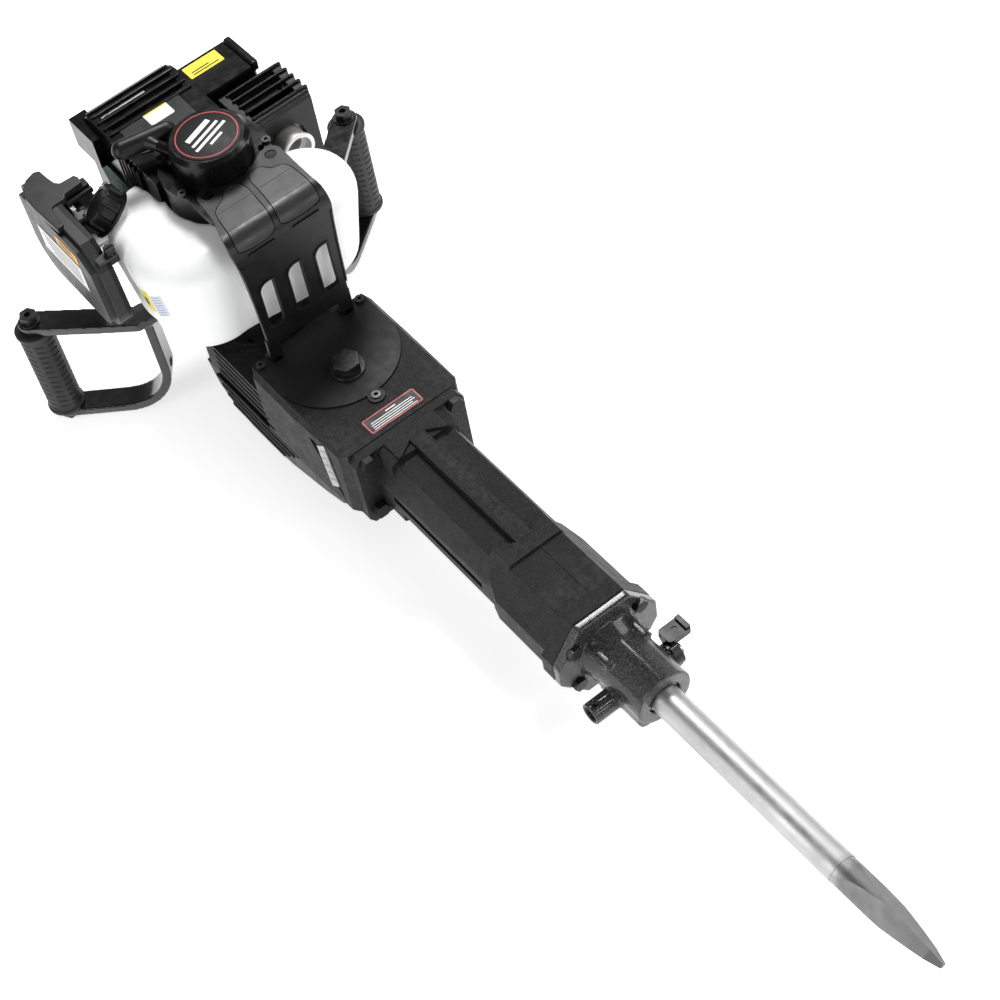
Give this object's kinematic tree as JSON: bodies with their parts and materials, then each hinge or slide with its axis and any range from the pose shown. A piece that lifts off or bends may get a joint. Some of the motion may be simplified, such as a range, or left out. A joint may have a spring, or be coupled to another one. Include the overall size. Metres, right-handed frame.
{
  "type": "petrol demolition hammer",
  "caption": "Petrol-engine demolition hammer: engine and tank on a crank gearbox, long percussion barrel, retained pointed chisel and a D-shaped grip each side.",
  "frame": {"origin": "on the hammer axis, at the back end of the chisel's round shaft, 3 mm in front of the tool socket mouth", "axes": "+Y back along the hammer axis towards the engine, so the chisel points to -Y; +Z towards the recoil-starter side, up when the tool lies down; +X to the muffler side"},
  "size_m": [0.453, 1.178, 0.353],
  "materials": {
    "cast_black": "matte fine-grained black paint over cast aluminium",
    "cover_black": "smoother satin black paint",
    "nose_black": "rough glossy black cast iron",
    "gloss_paint": "gloss black powder coat",
    "black_oxide": "black-oxide steel fasteners",
    "tool_steel": "satin ground steel",
    "machined_steel": "oiled machined steel",
    "gear_steel": "oiled hardened steel",
    "bearing_steel": "polished",
    "bright_screw": "zinc plated",
    "cast_aluminium": "as cast",
    "bright_aluminium": "die cast, bright",
    "gloss_black_plastic": "moulded",
    "black_plastic": "fine moulded texture",
    "grey_plastic": "fine moulded texture",
    "tank_plastic": "milky translucent blow-moulded plastic",
    "rubber": "matte",
    "porcelain": "glazed insulator",
    "gasket_green": "phenolic insulator",
    "muffler_steel": "pressed steel, heat toned",
    "exhaust_steel": "rolled bright steel",
    "primer_rubber": "translucent rubber dome",
    "friction": "sintered lining",
    "label_black": "printed label film, no text",
    "badge_silver": "printed silver film"
  },
  "bodies": {
    "hammer": {"front_cover": "nose_black", "tool_sleeve": "machined_steel", "front_cover_bolts": "black_oxide", "cylinder_case": "cast_black", "case_bolts": "black_oxide", "cylinder_liner": "machined_steel", "gearbox_housing": "cast_black", "crank_cover": "cover_black", "crank_cover_screws": "black_oxide", "cover_plug": "black_oxide", "plug_washer": "black_oxide", "nameplate": "label_black", "side_badges": "badge_silver", "louvre_cover": "black_plastic", "louvre_cover_screws": "black_oxide", "bearings": "bearing_steel", "clutch_housing": "cover_black", "crankcase": "cast_aluminium", "cylinder_block": "cast_aluminium", "starter_housing": "gloss_black_plastic", "starter_screws": "bright_screw", "engine_shroud": "gloss_black_plastic", "spark_plug": "porcelain", "plug_cap": "rubber", "muffler": "muffler_steel", "muffler_guard": "black_plastic", "exhaust_tube": "exhaust_steel", "carburettor": "bright_aluminium", "insulator": "gasket_green", "filter_base": "black_plastic", "filter_cover": "grey_plastic", "fuel_tank": "tank_plastic", "tank_guard": "black_plastic", "guard_bolts": "bright_screw", "handles": "gloss_paint", "grips": "rubber", "handle_bolts": "black_oxide", "throttle_mount": "black_plastic"},
    "chisel": {"chisel": "tool_steel"},
    "retainer": {"retainer_shaft": "machined_steel", "retainer_lever": "black_oxide"},
    "anvil": {"anvil": "machined_steel"},
    "striker": {"striker": "machined_steel"},
    "hammer_piston": {"piston": "cast_aluminium", "wrist_pin": "machined_steel"},
    "hammer_crank": {"crank_gear": "gear_steel", "hammer_crankshaft": "machined_steel"},
    "hammer_rod": {"hammer_rod": "machined_steel"},
    "idler": {"idler_gear": "gear_steel"},
    "drum": {"clutch_drum": "gear_steel"},
    "engine_shaft": {"engine_crankshaft": "machined_steel", "clutch_shoes": "friction", "flywheel": "cast_aluminium"},
    "pulley": {"starter_pulley": "black_plastic"},
    "pull_handle": {"starter_handle": "black_plastic"},
    "filter_latch": {"filter_knob": "black_plastic"},
    "choke": {"choke_lever": "black_plastic"},
    "primer": {"primer_bulb": "primer_rubber"},
    "cap": {"fuel_cap": "black_plastic"},
    "throttle": {"throttle_lever": "black_plastic"}
  },
  "joints": [
    {"name": "chisel_slide", "type": "slide", "parent": "hammer", "child": "chisel", "axis": [0, 1, 0], "range_m": [-0.028, 0]},
    {"name": "retainer_turn", "type": "hinge", "parent": "hammer", "child": "retainer", "pos_m": [0, 0.042, -0.015], "axis": [1, 0, 0], "range_deg": [0, 180]},
    {"name": "anvil_slide", "type": "slide", "parent": "hammer", "child": "anvil", "axis": [0, 1, 0], "range_m": [0, 0.008]},
    {"name": "striker_slide", "type": "slide", "parent": "hammer", "child": "striker", "axis": [0, 1, 0], "range_m": [-0.01, 0.025]},
    {"name": "piston_slide", "type": "slide", "parent": "hammer", "child": "hammer_piston", "axis": [0, 1, 0], "range_m": [0, 0.028]},
    {"name": "crank_spin", "type": "hinge", "parent": "hammer", "child": "hammer_crank", "pos_m": [0, 0.5, 0], "axis": [0, 0, 1], "continuous": true},
    {"name": "rod_swing", "type": "hinge", "parent": "hammer_crank", "child": "hammer_rod", "pos_m": [0, 0.486, 0], "axis": [0, 0, 1], "continuous": true},
    {"name": "idler_spin", "type": "hinge", "parent": "hammer", "child": "idler", "pos_m": [0, 0.578, 0], "axis": [0, 0, 1], "continuous": true},
    {"name": "drum_spin", "type": "hinge", "parent": "hammer", "child": "drum", "pos_m": [0, 0.648, 0], "axis": [0, 0, 1], "continuous": true},
    {"name": "engine_spin", "type": "hinge", "parent": "hammer", "child": "engine_shaft", "pos_m": [0, 0.648, 0.12], "axis": [0, 0, 1], "continuous": true},
    {"name": "starter_pull", "type": "slide", "parent": "hammer", "child": "pull_handle", "axis": [-0.3305, 0.9438, 0], "range_m": [0, 0.05]},
    {"name": "pulley_turn", "type": "hinge", "parent": "hammer", "child": "pulley", "pos_m": [0, 0.648, 0.238], "axis": [0, 0, 1], "range_deg": [-135, 0]},
    {"name": "latch_turn", "type": "hinge", "parent": "hammer", "child": "filter_latch", "pos_m": [-0.1325, 0.65, 0.188], "axis": [0, 0, 1], "range_deg": [0, 90]},
    {"name": "choke_turn", "type": "hinge", "parent": "hammer", "child": "choke", "pos_m": [-0.114, 0.752, 0.154], "axis": [0, 0, 1], "range_deg": [-40, 0]},
    {"name": "primer_push", "type": "slide", "parent": "hammer", "child": "primer", "axis": [0, -1, 0], "range_m": [0, 0.0027]},
    {"name": "cap_turn", "type": "hinge", "parent": "hammer", "child": "cap", "pos_m": [-0.1006, 0.6907, 0.1834], "axis": [-0.4973, 0.4477, 0.7431], "range_deg": [0, 360]},
    {"name": "throttle_squeeze", "type": "hinge", "parent": "hammer", "child": "throttle", "pos_m": [0.206, 0.802, -0.06], "axis": [1, 0, 0], "range_deg": [0, 9]}
  ],
  "couplings": [
    {"joint": "rod_swing", "follows": "crank_spin", "ratio": -1},
    {"joint": "idler_spin", "follows": "crank_spin", "ratio": -3},
    {"joint": "drum_spin", "follows": "crank_spin", "ratio": 9},
    {"joint": "pulley_turn", "follows": "starter_pull", "rad_per_m": -45.455}
  ]
}
